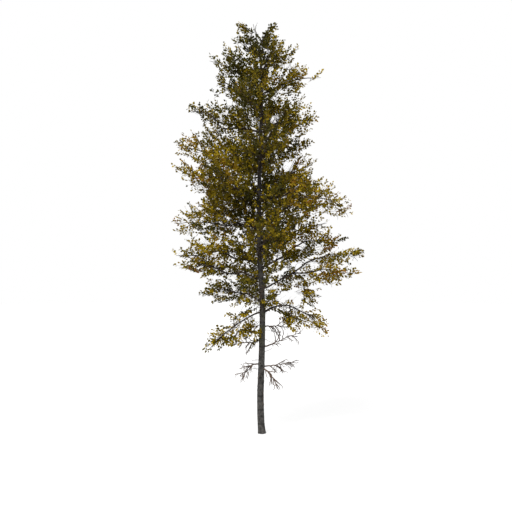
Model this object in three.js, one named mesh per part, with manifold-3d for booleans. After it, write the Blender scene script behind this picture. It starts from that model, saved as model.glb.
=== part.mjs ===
// A young poplar, about 12 m tall: one straight leader with a light root flare, boughs that leave it
// singly all the way round, dead bare boughs near the foot, and a narrow crown of leaf masses in tiers.
// Units are millimetres and degrees. +Z is up and the origin is the middle of the flat cut at ground
// level. An azimuth of 0 points along +X and 90 along +Y.
import * as THREE from "three";
import { mergeVertices } from "three/addons/utils/BufferGeometryUtils.js";
import Module from "manifold-3d";

const wasm = await Module();
wasm.setup();

// Trunk. Its line is given as [height, along X, along Y] where it changes its lean.
const TRUNK_LINE = [
  [0, 0, 0],
  [600, -25, 5],
  [1400, -25, 10],
  [2000, 0, 5],
  [3700, 30, -15],
  [4400, 0, -10],
  [5350, -60, 10],
  [7100, -65, 30],
  [9000, -20, 10],
  [10500, 15, -20],
  [11250, -85, -10],
  [11940, -240, 10],
];
const TRUNK_TOP = TRUNK_LINE.at(-1)[0];
const BUTT_RADIUS = 102;
const LEADER_RADIUS = 5;
const TAPER = 0.62;
const FLARE = 18;
const FLARE_HEIGHT = 160;
const FLARE_ROOTS = 5;
const ROOT_SHARE = 0.5;
const TRUNK_SIDES = 12;
const TRUNK_RINGS = 22;
const RING_CROWDING = 1.5;

// Limbs.
const LIMB_SIDES = 6;
const LIMB_RINGS = 4;
const LIMB_TAPER = 0.75;
const COLLAR = 0.45;
const COLLAR_LENGTH = 70;
const LIVE_TIP = 0.7;
const DEAD_TIP = 0.5;

// Leaf masses.
const UNEVENNESS = 0.2;
const LOBE_WAVES = 5;
const FULLEST = 0.46;
const TIP_TAPER = 0.42;
const SMALL_MASS = 530;
const GAP = 6;

const UP = new THREE.Vector3(0, 0, 1);
const BARK = new THREE.MeshStandardMaterial({ color: "#6b6764", roughness: 0.85, metalness: 0 });
const DEAD_WOOD = new THREE.MeshStandardMaterial({ color: "#564a42", roughness: 0.9, metalness: 0 });
const LEAVES = new THREE.MeshStandardMaterial({ color: "#6e621a", roughness: 0.6, metalness: 0 });

// Boughs that carry leaves. Each leaves the trunk at height from, and its leaves end reach away from the
// trunk at height tip. arch lifts its middle above the straight line, bare is the share of it with no
// leaves, and wide and thick are half the breadth and half the depth of its mass. A bough with a girth
// shows its limb. One that is on another bough starts where that one's leaves do.
const BOUGHS = {
  low_left: {
    azimuth: 184, from: 3560, reach: 1560, tip: 2430, arch: 160, bare: 0.48,
    girth: 25, wide: 380, thick: 310,
  },
  low_left_inner: {
    azimuth: 212, from: 3440, reach: 1050, tip: 2580, arch: 100, bare: 0.24,
    wide: 300, thick: 280,
  },
  low_left_upper: {
    azimuth: 172, from: 3800, reach: 1800, tip: 3960, arch: 300, bare: 0.26,
    girth: 24, wide: 525, thick: 500,
  },
  mid_left: {
    azimuth: 186, from: 4450, reach: 2400, tip: 4780, arch: 240, bare: 0.24,
    girth: 27, wide: 640, thick: 360,
  },
  mid_left_lower: {
    azimuth: 203, from: 5050, reach: 2540, tip: 5110, arch: 280, bare: 0.1,
    wide: 640, thick: 480,
  },
  mid_left_upper: {
    azimuth: 171, from: 5950, reach: 2570, tip: 6080, arch: 190, bare: 0.16,
    girth: 25, wide: 660, thick: 560,
  },
  broad_left_lower: {
    azimuth: 190, from: 6700, reach: 2420, tip: 7600, arch: 20, bare: 0.06,
    wide: 660, thick: 520,
  },
  broad_left_upper: {
    azimuth: 167, from: 7700, reach: 2560, tip: 8340, arch: 260, bare: 0.06,
    wide: 660, thick: 680,
  },
  high_left: {
    azimuth: 178, from: 8750, reach: 2080, tip: 9420, arch: 150, bare: 0.08,
    wide: 520, thick: 470,
  },
  upper_left: {
    azimuth: 187, from: 9550, reach: 1350, tip: 10340, arch: 70, bare: 0.08,
    wide: 480, thick: 470,
  },
  top_left: {
    azimuth: 172, from: 10350, reach: 1560, tip: 10920, arch: 120, bare: 0.06,
    wide: 450, thick: 470,
  },
  spire_left: {
    azimuth: 180, from: 10800, reach: 700, tip: 11950, arch: 90, bare: 0.1,
    wide: 400, thick: 330,
  },
  spire_leader: {
    azimuth: 150, from: 11150, reach: 60, tip: 11985, arch: 0, bare: 0.1,
    wide: 150, thick: 150,
  },
  spire_right: {
    azimuth: 4, from: 10850, reach: 350, tip: 11950, arch: 40, bare: 0.1,
    wide: 300, thick: 290,
  },
  top_right: {
    azimuth: 352, from: 10550, reach: 1040, tip: 11150, arch: 30, bare: 0.12,
    wide: 360, thick: 310,
  },
  upper_right: {
    azimuth: 6, from: 9850, reach: 1740, tip: 10420, arch: 160, bare: 0.08,
    wide: 480, thick: 440,
  },
  high_right: {
    azimuth: 355, from: 8800, reach: 1560, tip: 9020, arch: 180, bare: 0.06,
    wide: 560, thick: 620,
  },
  high_right_lower: {
    azimuth: 13, from: 8000, reach: 1500, tip: 8400, arch: 90, bare: 0.1,
    wide: 480, thick: 420,
  },
  broad_right_upper: {
    azimuth: 24, from: 7100, reach: 1780, tip: 7950, arch: 20, bare: 0.1,
    wide: 500, thick: 420,
  },
  broad_right: {
    azimuth: 350, from: 6720, reach: 2570, tip: 6430, arch: 350, bare: 0.14,
    girth: 27, wide: 700, thick: 640,
  },
  core_right: {
    azimuth: 17, from: 5400, reach: 2150, tip: 6100, arch: 160, bare: 0.06,
    wide: 560, thick: 500,
  },
  mid_right_upper: {
    azimuth: 8, from: 4700, reach: 2530, tip: 5640, arch: 190, bare: 0.16,
    wide: 525, thick: 440,
  },
  mid_right: {
    azimuth: 356, from: 4150, reach: 2880, tip: 5240, arch: 220, bare: 0.32,
    girth: 31, wide: 520, thick: 320,
  },
  mid_right_under: {
    on: "mid_right", azimuth: 338, reach: 2900, tip: 4700, arch: -10, bare: 0.06,
    wide: 400, thick: 310,
  },
  low_right_rise: {
    on: "mid_right", azimuth: 9, reach: 1560, tip: 3600, arch: 80, bare: 0.1,
    wide: 340, thick: 340,
  },
  low_right: {
    azimuth: 351, from: 3500, reach: 1860, tip: 2920, arch: 490, bare: 0.44,
    girth: 25, wide: 380, thick: 340,
  },
  low_right_drop: {
    on: "low_right", azimuth: 345, reach: 640, tip: 3110, arch: -120, bare: 0.06,
    wide: 290, thick: 280,
  },
  inner_right: {
    azimuth: 316, from: 3620, reach: 900, tip: 4200, arch: 110, bare: 0.42,
    girth: 15, wide: 240, thick: 180,
  },
  front_low: {
    azimuth: 258, from: 3950, reach: 1850, tip: 4450, arch: 120, bare: 0.34,
    girth: 22, wide: 520, thick: 450,
  },
  front_mid: {
    azimuth: 276, from: 5100, reach: 2200, tip: 5800, arch: 140, bare: 0.16,
    wide: 680, thick: 650,
  },
  front_broad_right: {
    azimuth: 311, from: 6150, reach: 2300, tip: 6750, arch: 180, bare: 0.12,
    wide: 700, thick: 700,
  },
  front_broad_left: {
    azimuth: 229, from: 6850, reach: 2300, tip: 7520, arch: 150, bare: 0.12,
    wide: 700, thick: 700,
  },
  front_high: {
    azimuth: 279, from: 7850, reach: 2050, tip: 8450, arch: 130, bare: 0.12,
    wide: 620, thick: 690,
  },
  front_upper: {
    azimuth: 254, from: 9150, reach: 1600, tip: 9750, arch: 120, bare: 0.1,
    wide: 560, thick: 690,
  },
  front_top: {
    azimuth: 287, from: 10250, reach: 1180, tip: 10950, arch: 60, bare: 0.1,
    wide: 440, thick: 520,
  },
  back_low: {
    azimuth: 96, from: 4250, reach: 2100, tip: 4850, arch: 150, bare: 0.3,
    girth: 23, wide: 620, thick: 520,
  },
  back_mid: {
    azimuth: 79, from: 5200, reach: 2350, tip: 5850, arch: 180, bare: 0.14,
    wide: 700, thick: 690,
  },
  back_broad_left: {
    azimuth: 131, from: 6150, reach: 2450, tip: 6800, arch: 170, bare: 0.12,
    wide: 720, thick: 720,
  },
  back_broad_right: {
    azimuth: 50, from: 6950, reach: 2250, tip: 7500, arch: 170, bare: 0.12,
    wide: 700, thick: 720,
  },
  back_high: {
    azimuth: 104, from: 7900, reach: 2050, tip: 8500, arch: 150, bare: 0.1,
    wide: 640, thick: 720,
  },
  back_upper: {
    azimuth: 64, from: 8900, reach: 1750, tip: 9500, arch: 140, bare: 0.1,
    wide: 580, thick: 680,
  },
  back_top: {
    azimuth: 112, from: 9950, reach: 1400, tip: 10650, arch: 100, bare: 0.1,
    wide: 500, thick: 525,
  },
};

// Dead boughs with neither leaves nor twigs of their own. Each ends reach away at height tip.
const DEAD_BOUGHS = {
  dead_left: { azimuth: 182, from: 2000, reach: 540, tip: 1720, arch: 130, girth: 17 },
  dead_left_upper: { azimuth: 176, from: 2770, reach: 720, tip: 2700, arch: -110, girth: 17 },
  dead_right_front: { azimuth: 322, from: 1900, reach: 560, tip: 1500, arch: 110, girth: 20 },
  dead_right: { azimuth: 8, from: 1940, reach: 920, tip: 2050, arch: -10, girth: 18 },
  dead_right_rise: { azimuth: 350, from: 2480, reach: 1050, tip: 2930, arch: 10, girth: 18 },
  dead_right_upper: { azimuth: 12, from: 3110, reach: 720, tip: 3080, arch: 30, girth: 16 },
};

const trunkCurve = new THREE.CatmullRomCurve3(TRUNK_LINE.map(([z, x, y]) => new THREE.Vector3(x, y, z)));

// The point of the trunk's line at a height, by halving.
function trunkAt(height) {
  let low = 0;
  let high = 1;
  for (let i = 0; i < 30; i++) {
    const middle = (low + high) / 2;
    if (trunkCurve.getPoint(middle).z < height) low = middle;
    else high = middle;
  }
  return trunkCurve.getPoint(low).setZ(height);
}

function trunkRadius(height, turn) {
  const taper = Math.pow(Math.max(0, 1 - height / TRUNK_TOP), TAPER);
  const flare = FLARE * Math.exp(-height / FLARE_HEIGHT) * (1 + ROOT_SHARE * Math.cos(FLARE_ROOTS * turn));
  return LEADER_RADIUS + (BUTT_RADIUS - LEADER_RADIUS) * taper + flare;
}

// Moves every vertex of a geometry with where(x, y, z).
function shaped(geometry, where) {
  const place = geometry.getAttribute("position");
  for (let i = 0; i < place.count; i++) {
    const p = where(place.getX(i), place.getY(i), place.getZ(i));
    place.setXYZ(i, p.x, p.y, p.z);
  }
  return geometry;
}

// Rings lie closer together at the flare. A spare radius gives the cut that the trunk makes in a neighbour.
function trunkGeometry(spare = 0) {
  const cylinder = new THREE.CylinderGeometry(1, 1, 1, TRUNK_SIDES, TRUNK_RINGS);
  return shaped(cylinder, (x, y, z) => {
    const height = TRUNK_TOP * Math.pow(y + 0.5, RING_CROWDING);
    const radius = trunkRadius(height, Math.atan2(z, x)) + spare;
    return trunkAt(height).add(new THREE.Vector3(x * radius, -z * radius, 0));
  });
}

// A seeded source of numbers between 0 and 1.
function seeded(seed) {
  let state = seed;
  return () => {
    state = (state + 0x6d2b79f5) | 0;
    let t = Math.imul(state ^ (state >>> 15), 1 | state);
    t = (t + Math.imul(t ^ (t >>> 7), 61 | t)) ^ t;
    return ((t ^ (t >>> 14)) >>> 0) / 4294967296;
  };
}

function outward(azimuth) {
  const turn = THREE.MathUtils.degToRad(azimuth);
  return new THREE.Vector3(Math.cos(turn), Math.sin(turn), 0);
}

// A bough's whole line, from its start to the tip of its leaves.
function boughCurve({ azimuth, from, on, reach, tip, arch }) {
  const start = on ? boughCurve(BOUGHS[on]).getPoint(BOUGHS[on].bare) : trunkAt(from);
  const end = trunkAt(Math.min(from ?? tip, tip)).addScaledVector(outward(azimuth), reach).setZ(tip);
  const bend = start.clone().lerp(end, 0.5).addScaledVector(UP, 2 * arch);
  return new THREE.QuadraticBezierCurve3(start, bend, end);
}

// The line's point at t with the directions across it: side is level, and crown points up from the line.
function station(curve, t) {
  const ahead = curve.getTangent(t);
  const side = new THREE.Vector3().crossVectors(ahead, UP).normalize();
  const crown = new THREE.Vector3().crossVectors(side, ahead);
  return { point: curve.getPoint(t), ahead, side, crown };
}

// A tapering limb along the first part of a line, with a collar where it leaves the trunk.
function limbGeometry(curve, end, girth, tipShare, spare = 0) {
  const cylinder = new THREE.CylinderGeometry(1, 1, 1, LIMB_SIDES, LIMB_RINGS);
  const length = curve.getLength();
  return shaped(cylinder, (x, y, z) => {
    const t = (y + 0.5) * end;
    const { point, side, crown } = station(curve, t);
    const taper = tipShare + (1 - tipShare) * Math.pow(Math.max(0, 0.5 - y), LIMB_TAPER);
    const collar = 1 + COLLAR * Math.exp(-Math.max(0, t * length - BUTT_RADIUS) / COLLAR_LENGTH);
    const radius = girth * taper * collar + spare;
    return point.addScaledVector(side, x * radius).addScaledVector(crown, z * radius);
  });
}

// One closed uneven lump round the leafy part of a line, pointed at both ends. FULLEST sets where along
// it the lump is widest, and TIP_TAPER how much slimmer it gets towards its far end. Its lobes come from
// a few waves with seeded phases, so no two lumps are alike.
function massGeometry(curve, { bare, wide, thick }, seed, spare = 0) {
  const random = seeded(seed);
  const waves = Array.from({ length: LOBE_WAVES }, () => ({
    way: new THREE.Vector3(random() - 0.5, random() - 0.5, random() - 0.5).normalize(),
    count: 2.5 + 3.5 * random(),
    phase: 2 * Math.PI * random(),
  }));
  const lobes = (p) => waves.reduce((sum, w) => sum + Math.sin(w.count * w.way.dot(p) + w.phase), 0);
  const detail = Math.max(wide, thick) > SMALL_MASS ? 2 : 1;
  return shaped(new THREE.IcosahedronGeometry(1, detail), (x, y, z) => {
    const uneven = 1 + (UNEVENNESS * lobes(new THREE.Vector3(x, y, z))) / Math.sqrt(LOBE_WAVES);
    const share = Math.pow(THREE.MathUtils.clamp((x + 1) / 2, 0, 1), Math.log(FULLEST) / Math.log(0.5));
    const { point, ahead, side, crown } = station(curve, bare + (1 - bare) * share);
    const swell = uneven * (1 - TIP_TAPER * share * share);
    return point
      .addScaledVector(ahead, x * spare)
      .addScaledVector(side, -y * (wide * swell + spare))
      .addScaledVector(crown, z * (thick * swell + spare));
  });
}

function solid(geometry) {
  const bare = new THREE.BufferGeometry().setAttribute("position", geometry.getAttribute("position"));
  if (geometry.index) bare.setIndex(geometry.index);
  const merged = mergeVertices(bare, 0.01);
  return new wasm.Manifold(
    new wasm.Mesh({
      numProp: 3,
      vertProperties: new Float32Array(merged.getAttribute("position").array),
      triVerts: new Uint32Array(merged.index.array),
    }),
  );
}

function largestPiece(body) {
  return body.decompose().reduce((best, piece) => (piece.volume() > best.volume() ? piece : best));
}

function mesh(name, body, material) {
  const { vertProperties, triVerts } = body.getMesh();
  const geometry = new THREE.BufferGeometry();
  geometry.setAttribute("position", new THREE.BufferAttribute(vertProperties, 3));
  geometry.setIndex(new THREE.BufferAttribute(triVerts, 1));
  geometry.computeVertexNormals();
  const made = new THREE.Mesh(geometry, material);
  made.name = name;
  return made;
}

const tree = new THREE.Group();
tree.add(mesh("trunk", solid(trunkGeometry()), BARK));

// What is already there, a little larger, for later pieces to be cut round.
const taken = [solid(trunkGeometry(GAP / 4))];

function addPiece(name, body, room, material) {
  const cut = taken.reduce((left, other) => left.subtract(other), body);
  tree.add(mesh(name, largestPiece(cut), material));
  taken.push(room);
}

function addLimb(name, curve, end, girth, tipShare, material) {
  const body = solid(limbGeometry(curve, end, girth, tipShare));
  const room = solid(limbGeometry(curve, end, girth, tipShare, GAP));
  addPiece(name, body, room, material);
}

for (const [name, bough] of Object.entries(DEAD_BOUGHS)) {
  addLimb(name, boughCurve(bough), 1, bough.girth, DEAD_TIP, DEAD_WOOD);
}
for (const [name, bough] of Object.entries(BOUGHS)) {
  if (bough.girth) addLimb(`bough_${name}`, boughCurve(bough), bough.bare, bough.girth, LIVE_TIP, BARK);
}
Object.entries(BOUGHS).forEach(([name, bough], i) => {
  const curve = boughCurve(bough);
  const body = solid(massGeometry(curve, bough, i + 1));
  const room = solid(massGeometry(curve, bough, i + 1, GAP));
  addPiece(`leaves_${name}`, body, room, LEAVES);
});

export default tree;
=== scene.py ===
import math

import bpy
import numpy as np
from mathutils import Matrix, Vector, noise
from mathutils.bvhtree import BVHTree


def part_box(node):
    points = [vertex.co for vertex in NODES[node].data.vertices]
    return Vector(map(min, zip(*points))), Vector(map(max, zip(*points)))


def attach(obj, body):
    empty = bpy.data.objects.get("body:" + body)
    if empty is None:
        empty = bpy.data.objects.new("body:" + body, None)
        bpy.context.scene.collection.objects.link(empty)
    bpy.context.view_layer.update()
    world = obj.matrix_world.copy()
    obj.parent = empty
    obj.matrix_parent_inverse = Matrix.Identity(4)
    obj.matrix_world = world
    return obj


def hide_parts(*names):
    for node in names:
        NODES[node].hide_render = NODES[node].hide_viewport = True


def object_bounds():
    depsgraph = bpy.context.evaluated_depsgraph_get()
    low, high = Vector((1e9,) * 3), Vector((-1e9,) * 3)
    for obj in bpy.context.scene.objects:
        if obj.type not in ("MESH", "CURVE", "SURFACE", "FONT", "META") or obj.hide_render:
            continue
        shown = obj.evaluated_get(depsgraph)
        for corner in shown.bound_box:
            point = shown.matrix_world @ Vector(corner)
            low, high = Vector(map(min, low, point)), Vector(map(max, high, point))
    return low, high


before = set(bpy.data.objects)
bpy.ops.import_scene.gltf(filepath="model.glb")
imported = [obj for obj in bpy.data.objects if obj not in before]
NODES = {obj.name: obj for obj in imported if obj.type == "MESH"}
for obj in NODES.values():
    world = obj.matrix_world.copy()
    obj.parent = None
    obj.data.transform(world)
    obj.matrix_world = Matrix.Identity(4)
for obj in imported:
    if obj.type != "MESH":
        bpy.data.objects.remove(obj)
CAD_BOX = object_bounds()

bl_info = {
    "name": "Autumn Poplar",
    "version": (1, 0, 0),
    "blender": (4, 5, 0),
    "location": "3D View > Sidebar > Poplar",
    "description": "Grows bark, twigs and autumn leaves on the trunk, boughs and leaf masses of a poplar",
    "category": "Add Mesh",
}

# Every length is in metres and every angle in radians. +Z is up, and the crown's broad side faces -Y.
MASSES = sorted(n for n in NODES if n.startswith("leaves_"))
LIMBS = sorted(n for n in NODES if n.startswith("bough_"))
DEAD = sorted(n for n in NODES if n.startswith("dead_"))
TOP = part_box("trunk")[1].z
UP = np.array([0.0, 0.0, 1.0])

# Shoots end inside this box: the CAD's, a little wider and a little lower.
BOX_LOW = np.array(CAD_BOX[0]) - [0.03, 0.03, 0.0]
BOX_HIGH = np.array(CAD_BOX[1]) + [0.03, 0.03, -0.06]

# How far the camera stands to the side of the trunk's foot.
CAMERA_SIDE = -0.16

# Specks of sky between leaves: how many in a metre, and the noise value under which one opens.
SPECKS = 6.5
SPECK_EDGE = -0.26

# Leaf masses that hang on another bough's limb, and the limb they start from.
SHARED_LIMB = {
    "leaves_mid_right_under": "bough_mid_right",
    "leaves_low_right_rise": "bough_mid_right",
    "leaves_low_right_drop": "bough_low_right",
}

# Old bud scars that show as broken dark lines on the trunk: height, and how dark each is.
SCARS = (
    (0.28, 0.8),
    (0.49, 0.5),
    (0.70, 1.0),
    (1.09, 1.0),
    (1.46, 0.4),
    (2.23, 0.7),
    (2.53, 0.6),
    (3.24, 0.5),
)

# Knots where boughs once stood on the trunk: height, turn round it from +X, and radius.
KNOTS = (
    (1.62, 4.55, 0.048),
    (1.97, 4.80, 0.044),
    (1.31, 3.20, 0.050),
    (2.05, 4.35, 0.022),
    (0.51, 4.95, 0.034),
    (0.44, 4.35, 0.014),
    (1.30, 3.70, 0.018),
    (2.62, 4.40, 0.020),
    (2.95, 5.20, 0.024),
    (1.02, 1.90, 0.024),
    (1.74, 0.90, 0.028),
    (2.30, 2.40, 0.026),
    (2.84, 1.30, 0.022),
    (0.84, 0.20, 0.018),
    (1.52, 6.00, 0.022),
    (3.42, 4.80, 0.022),
)

# Windows of sky through the crown, seen from the middle of the broad side: across, up, and radius.
WINDOWS = (
    (0.26, 10.62, 0.09),
    (0.36, 9.12, 0.15),
    (0.76, 7.77, 0.16),
    (0.60, 3.98, 0.19),
    (0.98, 4.03, 0.21),
    (-2.20, 5.48, 0.11),
    (-1.68, 9.72, 0.10),
    (0.32, 3.40, 0.20),
    (0.46, 5.12, 0.15),
    (1.14, 5.46, 0.11),
    (1.66, 5.40, 0.12),
    (1.50, 4.92, 0.12),
)

# Where the trunk shows between the leaves before it: lowest and highest height, and how fully it shows.
GLIMPSES = ((3.9, 5.75, 0.94), (6.3, 8.1, 0.80), (8.7, 9.6, 0.85), (10.0, 11.2, 0.35))

# How far beside the trunk, and beside a bough that shows, the leaves before it are missing.
TRUNK_EDGE = 0.03
BOUGH_EDGE = 0.065

# How many leafy shoots stand straight on the trunk, and between which heights.
STEM_SHOOTS = 150
SHOOTS_FROM = 5.7
SHOOTS_TO = 11.5

# Room kept clear of shoots before the trunk: how far from its line, and up to which height.
CLEAR_OF_STEM = 0.16
CLEAR_UP_TO = 10.5

# Gaps between sprays: how many in a metre, and the noise value under which one opens.
GAPS = 2.6
GAP_EDGE = -0.22

# Least depth of a shoot's middle in its leaf mass, and how much less it may be at the front and the back,
# where the tiers close up.
SHELL = 0.075
TIER_SPILL = 0.13

# How far the end of a shoot may stand out of the box round its leaf mass, besides the spill.
STAND_OUT = 0.11

# The thickest that a bough without a limb in the CAD starts.
THICKEST_BOUGH = 0.026

# Side branches: the shortest, the length of one step, and the least thickness at the foot.
LEAST_BRANCH = 0.16
BRANCH_STEP = 0.07
BRANCH_FOOT = 0.0075

# Thickness where a side branch ends and a shoot begins, and at a shoot's tip.
SHOOT_FOOT = 0.0036
SHOOT_TIP = 0.0015

# Size of a spray of one tone, and how much sprays and shoots differ in tone.
SPRAY = 0.42
SPRAY_TONE = 0.6
SHOOT_TONE = 0.7

# Turn from one leaf to the next round a shoot, and half the width of a leaf's stalk.
LEAF_TURN = 2.399
STALK_HALF = 0.0011

# Sides of the tubes, from the thickest wood to the thinnest.
LIMB_SIDES = 12
DEAD_SIDES = 9
BOUGH_SIDES = 7
BRANCH_SIDES = 5
TWIG_SIDES = 3

# Points along a bare live limb and along a dead bough.
LIMB_POINTS = 34
DEAD_POINTS = 26

# The trunk's radius where its knots are.
KNOT_GIRTH = 0.095

# Length of one step of a bare twig, and the shortest side twig.
TWIG_STEP = 0.065
LEAST_TWIG = 0.055

# Leaf tints, each with the tone up to which it is dealt.
TINTS = (
    ("bottle", -1.15),
    ("olive", -0.55),
    ("moss", 0.05),
    ("brass", 0.75),
    ("gold", 1.30),
    ("ochre", 2.15),
    ("russet", 9.0),
)
LOWEST_TONE = -9.0

# Boughs that show through the leaves before them, and how fully.
SHOWN_BOUGHS = {
    "leaves_low_left_upper": 0.85,
    "leaves_mid_left": 0.9,
    "leaves_mid_left_upper": 0.35,
    "leaves_mid_right": 0.85,
    "leaves_mid_right_upper": 0.15,
    "leaves_low_right": 0.8,
    "leaves_broad_right": 0.35,
    "leaves_high_left": 0.35,
    "leaves_low_left": 0.6,
}

# Single long shoots that stand clear of the crown: the leaf mass they grow from, and their tips.
LONG_SHOOTS = {
    "leaves_spire_left": ((-0.70, 0, 11.80), (-0.84, 0.1, 11.50), (-0.80, -0.1, 11.25), (-0.52, 0, 11.70)),
    "leaves_spire_right": ((0.22, 0.0, 11.78), (0.04, 0.05, 11.70), (0.30, 0.0, 11.45), (0.12, -0.1, 11.55)),
    "leaves_upper_left": ((-1.38, -0.10, 9.74), (-0.95, 0.0, 9.98), (-0.78, -0.10, 10.12)),
    "leaves_top_left": ((-0.92, 0.0, 11.28), (-1.02, 0.05, 10.62), (-0.88, -0.1, 10.50)),
    "leaves_high_right": ((0.98, 0.0, 9.98), (0.78, -0.1, 10.10), (1.18, 0.05, 9.86)),
    "leaves_top_right": ((0.62, 0.0, 11.42), (0.48, -0.05, 11.30)),
    "leaves_upper_right": ((0.82, 0.0, 10.95), (0.66, -0.1, 10.84), (0.95, 0.1, 10.78)),
    "leaves_high_left": ((-1.75, 0.15, 8.78), (-2.04, 0.05, 9.36)),
    "leaves_broad_left_upper": ((-1.55, 0.30, 8.95), (-1.95, 0.1, 8.80)),
    "leaves_broad_left_lower": ((-2.20, -0.1, 7.85), (-2.05, 0.1, 7.70)),
    "leaves_mid_left_upper": ((-2.40, 0.25, 5.80), (-2.15, 0.0, 5.76), (-1.92, -0.1, 5.72)),
    "leaves_low_left_upper": ((-0.95, -0.2, 3.80), (-0.60, -0.2, 3.75)),
    "leaves_low_left": ((-1.12, -0.15, 2.50), (-1.42, 0.0, 2.50), (-0.80, -0.1, 2.62), (-1.30, 0.1, 2.72)),
    "leaves_high_right_lower": ((1.42, 0.25, 8.62), (1.28, 0.0, 8.82)),
    "leaves_broad_right_upper": ((1.20, 0.0, 8.02),),
    "leaves_broad_right": ((2.48, -0.35, 6.28), (2.20, -0.2, 6.22)),
    "leaves_mid_right_upper": ((1.98, -0.1, 5.86),),
    "leaves_mid_right": ((2.90, -0.20, 5.28), (2.78, -0.2, 5.02)),
    "leaves_mid_right_under": ((2.00, -0.5, 4.28), (1.80, -0.4, 4.32)),
    "leaves_low_right": ((1.78, -0.25, 3.40), (1.50, -0.2, 2.98), (1.22, -0.15, 3.04)),
    "leaves_low_right_drop": (
        (0.72, -0.1, 3.10),
        (1.00, -0.1, 3.12),
        (0.62, 0.1, 3.28),
        (0.90, 0.1, 3.30),
        (1.20, 0.0, 3.25),
    ),
    "leaves_low_right_rise": ((1.25, 0.1, 3.78), (1.45, 0.1, 3.88)),
}


# ---------------------------------------------------------------- small helpers


def fresh(name):
    """Removes an object of this name, so that an operator can be run again."""
    old = bpy.data.objects.get(name)
    if old is not None:
        bpy.data.objects.remove(old)


def select_only(obj):
    bpy.ops.object.select_all(action="DESELECT")
    obj.select_set(True)
    bpy.context.view_layer.objects.active = obj


def points_of(obj):
    place = np.zeros(len(obj.data.vertices) * 3, np.float32)
    obj.data.vertices.foreach_get("co", place)
    return place.reshape(-1, 3).astype(float)


def lengths(v):
    return np.linalg.norm(v, axis=-1)


def unit(v):
    v = np.asarray(v, float)
    length = np.linalg.norm(v, axis=-1, keepdims=True)
    return v / np.maximum(length, 1e-9)


def mesh_object(name, points, faces, material, smooth=True):
    """One mesh object from arrays of points and of triangles or four-sided faces."""
    fresh(name)
    mesh = bpy.data.meshes.new(name)
    sides = faces.shape[1]
    mesh.vertices.add(len(points))
    mesh.vertices.foreach_set("co", np.ascontiguousarray(points, np.float32).ravel())
    mesh.loops.add(faces.size)
    mesh.loops.foreach_set("vertex_index", np.ascontiguousarray(faces, np.int32).ravel())
    mesh.polygons.add(len(faces))
    mesh.polygons.foreach_set("loop_start", np.arange(0, faces.size, sides, dtype=np.int32))
    mesh.polygons.foreach_set("use_smooth", np.full(len(faces), smooth))
    mesh.update(calc_edges=True)
    mesh.validate()
    obj = bpy.data.objects.new(name, mesh)
    bpy.context.scene.collection.objects.link(obj)
    obj.data.materials.append(material)
    return obj


def settle(obj, nodes):
    """A finished piece rides on the tree and stands for its CAD nodes."""
    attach(obj, "root")
    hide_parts(*nodes)


# ---------------------------------------------------------------- lines and tubes


def run_of(path):
    """The distance along a path of each of its points."""
    return np.concatenate([[0], np.cumsum(lengths(np.diff(path, axis=0)))])


def along_path(path, run, at):
    """The places at these distances along a path."""
    return np.column_stack([np.interp(at, run, path[:, k]) for k in range(3)])


def resampled(path, count):
    """A smooth line through the points of a path, as count evenly spaced points."""
    path = np.asarray(path, float)
    ends = np.vstack([2 * path[0] - path[1], path, 2 * path[-1] - path[-2]])
    dense = []
    for i in range(1, len(ends) - 2):
        a, b, c, d = ends[i - 1 : i + 3]
        t = np.linspace(0, 1, 12, endpoint=False)[:, None]
        curve = 2 * b + (c - a) * t + (2 * a - 5 * b + 4 * c - d) * t**2 + (3 * b - a - 3 * c + d) * t**3
        dense.append(curve / 2)
    dense = np.vstack(dense + [path[-1:]])
    run = run_of(dense)
    return along_path(dense, run, np.linspace(0, run[-1], count))


def bent(start, pull, end, count):
    """A line from start to end, drawn towards pull, as count points."""
    t = np.linspace(0, 1, count)[:, None]
    return (1 - t) ** 2 * start + 2 * t * (1 - t) * pull + t**2 * end


def headings(path):
    return unit(np.gradient(path, axis=0))


def crossways(ahead):
    """Two directions square to each heading; the first is level, or square to X where the heading is nearly
    upright.
    """
    side = unit(np.cross(ahead, np.where(np.abs(ahead[:, 2:3]) > 0.95, [[1.0, 0, 0]], [[0, 0, 1.0]])))
    return side, np.cross(side, ahead)


class Tubes:
    """Collects tapering tubes, each closed at its tip with a point, into one mesh of triangles."""

    def __init__(self):
        self.points = []
        self.faces = []
        self.total = 0

    def add(self, path, radii, sides):
        path = np.asarray(path, float)
        radii = np.broadcast_to(np.asarray(radii, float), len(path))
        side, rise = crossways(headings(path))
        turn = np.arange(sides) * (2 * math.pi / sides)
        ring = np.cos(turn)[None, :, None] * side[:, None] - np.sin(turn)[None, :, None] * rise[:, None]
        rings = path[:, None] + ring * radii[:, None, None]
        tip = path[-1] + unit(path[-1] - path[-2]) * radii[-1] * 1.5
        butt = path[0]
        i = np.arange(len(path) - 1)[:, None] * sides
        j = np.arange(sides)[None]
        k = (j + 1) % sides
        a, b, c, d = i + j, i + k, i + sides + k, i + sides + j
        walls = np.stack([np.stack([a, b, c], -1), np.stack([a, c, d], -1)], 2).reshape(-1, 3)
        last = (len(path) - 1) * sides
        apex = len(path) * sides
        j, k = j[0], k[0]
        cap = np.column_stack([last + j, last + k, np.full(sides, apex)])
        heel = np.column_stack([k, j, np.full(sides, apex + 1)])
        self.points.append(np.vstack([rings.reshape(-1, 3), tip[None], butt[None]]))
        self.faces.append(np.vstack([walls, cap, heel]) + self.total)
        self.total += len(self.points[-1])

    def build(self, name, material):
        return mesh_object(name, np.vstack(self.points), np.vstack(self.faces), material)


def stem_line():
    """The trunk's centre and radius by height, read from the rings of the CAD trunk."""
    place = points_of(NODES["trunk"])
    levels = np.unique(np.round(place[:, 2], 3))
    rows = []
    for level in levels:
        ring = place[np.abs(place[:, 2] - level) < 0.0015]
        middle = (ring.max(0) + ring.min(0)) / 2
        reach = lengths(ring[:, :2] - middle[:2])
        rows.append((level, middle[0], middle[1], reach[reach > 0.5 * reach.max()].mean()))
    return np.array(rows)


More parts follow.
